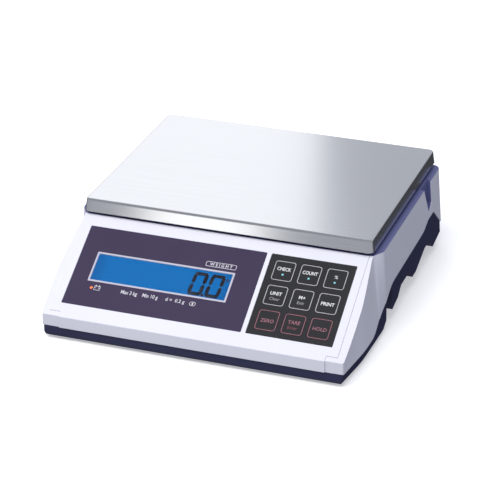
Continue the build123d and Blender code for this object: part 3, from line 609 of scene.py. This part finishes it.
def key_print(body, word, extra, width, across, down, inks):
    """What is printed on one key: its outline, its word, and a dot or a second word."""
    line_ink, word_ink, small_ink = inks
    outline = rounded_plate(OUTLINE_WIDE, OUTLINE_TALL, 2.8, INK, segments=6, line=0.75)
    settle(outline, f"{body}_outline", on_slope(across, down, PRINT_OUT), line_ink, body)
    word_down = down - WORD_RISE if extra else down + LONE_WORD_DROP
    place = on_slope(across, word_down, PRINT_OUT + INK / 2)
    bold = 0.02 if word == "%" else 0.12
    lettering(f"{body}_word", word, WORD_TALL, place, word_ink, body, bold=bold, width=width)
    if extra == ".":
        dot = rounded_plate(DOT_WIDE, DOT_WIDE, DOT_WIDE / 2 - 0.05, INK, segments=6)
        settle(dot, f"{body}_dot", on_slope(across, down + DOT_DROP, PRINT_OUT), blue_ink, body)
    elif extra:
        place = on_slope(across, down + SECOND_DROP, PRINT_OUT + INK / 2)
        lettering(f"{body}_second_word", extra, SECOND_TALL, place, small_ink, body, bold=0.05)


white_row = (pale_ink, bright_ink, soft_ink)
rose_row = (rose_ink, rose_ink, faint_rose)
for row, (words_in_row, inks) in enumerate(zip(key_words, (white_row, white_row, rose_row))):
    for column, (key, word, extra, width) in enumerate(words_in_row):
        across = KEY_CENTRE[0] + (column - 1) * KEY_PITCH[0]
        down = KEY_CENTRE[1] + (row - 1) * KEY_PITCH[1]
        key_print(f"key_{key}", word, extra, width, across, down, inks)


# Mechanical and electrical parts inside and at the back: boards, switches, plugs and leads.
# They show when the platter is off, through the rear openings and from below.
def plain_plastic(name, light, dark, roughness, scale):
    """Smooth moulded plastic with slight mottling and tiny pits."""
    made = Material(name, {"Specular IOR Level": 0.4})
    cloud = made.noise(40.0, detail=3.0)
    pits = made.noise(scale, detail=2.0, seed=5.0)
    colour = made.mix(cloud.smooth(0.3, 0.7), dark, light)
    surface = made.bump(pits, 0.00002, 0.5, made.rounded(0.0004))
    return made.finish(base_color=colour, roughness=roughness + (pits - 0.5) * 0.15, normal=surface)


switch_black = plain_plastic("switch_black", (0.028, 0.028, 0.030), (0.018, 0.018, 0.019), 0.38, 1500.0)
component_black = plain_plastic("component_black", (0.040, 0.040, 0.044), (0.022, 0.022, 0.024), 0.55, 2500.0)
circuit_board = plain_plastic("circuit_board", (0.020, 0.170, 0.070), (0.012, 0.120, 0.048), 0.35, 700.0)
battery_case = plain_plastic("battery_case", (0.34, 0.36, 0.40), (0.28, 0.30, 0.34), 0.5, 1200.0)
light_guide = plain_plastic("light_guide", (0.75, 0.82, 0.92), (0.66, 0.74, 0.86), 0.3, 1500.0)
ribbon_grey = plain_plastic("ribbon_grey", (0.52, 0.53, 0.55), (0.44, 0.45, 0.47), 0.5, 1800.0)
cable_black = plain_plastic("cable_black", (0.030, 0.030, 0.032), (0.020, 0.020, 0.022), 0.6, 1800.0)
wire_red = plain_plastic("wire_red", (0.55, 0.03, 0.02), (0.42, 0.02, 0.02), 0.45, 1800.0)
light_grey_abs = plain_plastic("light_grey_abs", (0.60, 0.61, 0.63), (0.52, 0.53, 0.56), 0.42, 1500.0)
plate_metal = cast_metal("plate_metal", (0.74, 0.75, 0.76), (0.64, 0.65, 0.66), 0.36, 900.0, 0.00002)
dress(switch_black, "key_switches", "dc_jack", "power_switch_body", "power_rocker")
dress(component_black, "main_board_parts")
dress(circuit_board, "main_board", "display_board")
dress(battery_case, "battery")
dress(light_guide, "lcd_backlight")
dress(ribbon_grey, "display_ribbon")
dress(cable_black, "load_cell_lead")
dress(wire_red, "battery_leads")
dress(zinc_steel, "serial_port")
dress(light_grey_abs, "level_vial_bezel")
dress(plate_metal, "rating_plate")


# The level: a round spirit level of clear acrylic with green fluid, a ring mark and a bubble.
fluid = Material("level_fluid", {"Roughness": 0.06, "Coat Weight": 0.6})
tint = fluid.noise(120.0, detail=2.0)
fluid_colour = fluid.mix(tint, (0.42, 0.62, 0.10), (0.52, 0.72, 0.16))
dress(fluid.finish(base_color=fluid_colour), "level_vial_glass")

BUBBLE_RADIUS = 1.9
BUBBLE_FLATTENED = 0.12
RING_RADIUS = 2.9
RING_LINE = 0.35
RING_THICK = 0.06
vial_low, vial_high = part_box("level_vial_glass")
vial_top = Vector(((vial_low.x + vial_high.x) / 2, (vial_low.y + vial_high.y) / 2, vial_high.z))
bpy.ops.object.select_all(action="DESELECT")
bpy.ops.mesh.primitive_uv_sphere_add(segments=24, ring_count=12, radius=BUBBLE_RADIUS * MM,
                                     location=(0.0, 0.0, 0.0))
bubble = bpy.context.object
bpy.ops.object.mode_set(mode="EDIT")
bpy.ops.transform.resize(value=(1.0, 1.0, BUBBLE_FLATTENED))
bpy.ops.mesh.bisect(plane_co=(0.0, 0.0, 0.0), plane_no=(0.0, 0.0, 1.0), clear_inner=True, use_fill=True)
bpy.ops.object.mode_set(mode="OBJECT")
bpy.ops.object.shade_smooth_by_angle(angle=math.radians(40.0))
bubble_gloss = plain_plastic("bubble", (0.80, 0.92, 0.52), (0.72, 0.86, 0.44), 0.12, 3000.0)
settle(bubble, "level_bubble", Matrix.Translation(vial_top + Vector((0.0002, 0.0001, 0.0))), bubble_gloss,
       "case")
bpy.ops.object.select_all(action="DESELECT")
bpy.ops.mesh.primitive_circle_add(vertices=48, radius=RING_RADIUS * MM, fill_type="NGON",
                                  location=(0.0, 0.0, 0.0))
ring_mark = bpy.context.object
bpy.ops.object.mode_set(mode="EDIT")
bpy.ops.mesh.select_all(action="SELECT")
bpy.ops.mesh.inset(thickness=RING_LINE * MM)
bpy.ops.mesh.delete(type="FACE")
bpy.ops.mesh.select_all(action="SELECT")
bpy.ops.mesh.extrude_region_move(TRANSFORM_OT_translate={"value": (0.0, 0.0, RING_THICK * MM)})
bpy.ops.mesh.select_all(action="SELECT")
bpy.ops.mesh.normals_make_consistent(inside=False)
bpy.ops.object.mode_set(mode="OBJECT")
settle(ring_mark, "level_ring_mark", Matrix.Translation(vial_top), lcd_dark, "case")


# The feet: grey-black ribbed nylon knobs, each in one with its stud, over soft rubber soles.
# They screw up into brass inserts in the base.
foot_nylon = plain_plastic("foot_nylon", (0.050, 0.050, 0.056), (0.034, 0.034, 0.038), 0.5, 1400.0)
for name in frame["nodes"]:
    if name.startswith("foot_") and name.endswith("_knob"):
        dress(foot_nylon, name)
    elif name.startswith("foot_") and name.endswith("_pad"):
        dress(black_rubber, name)
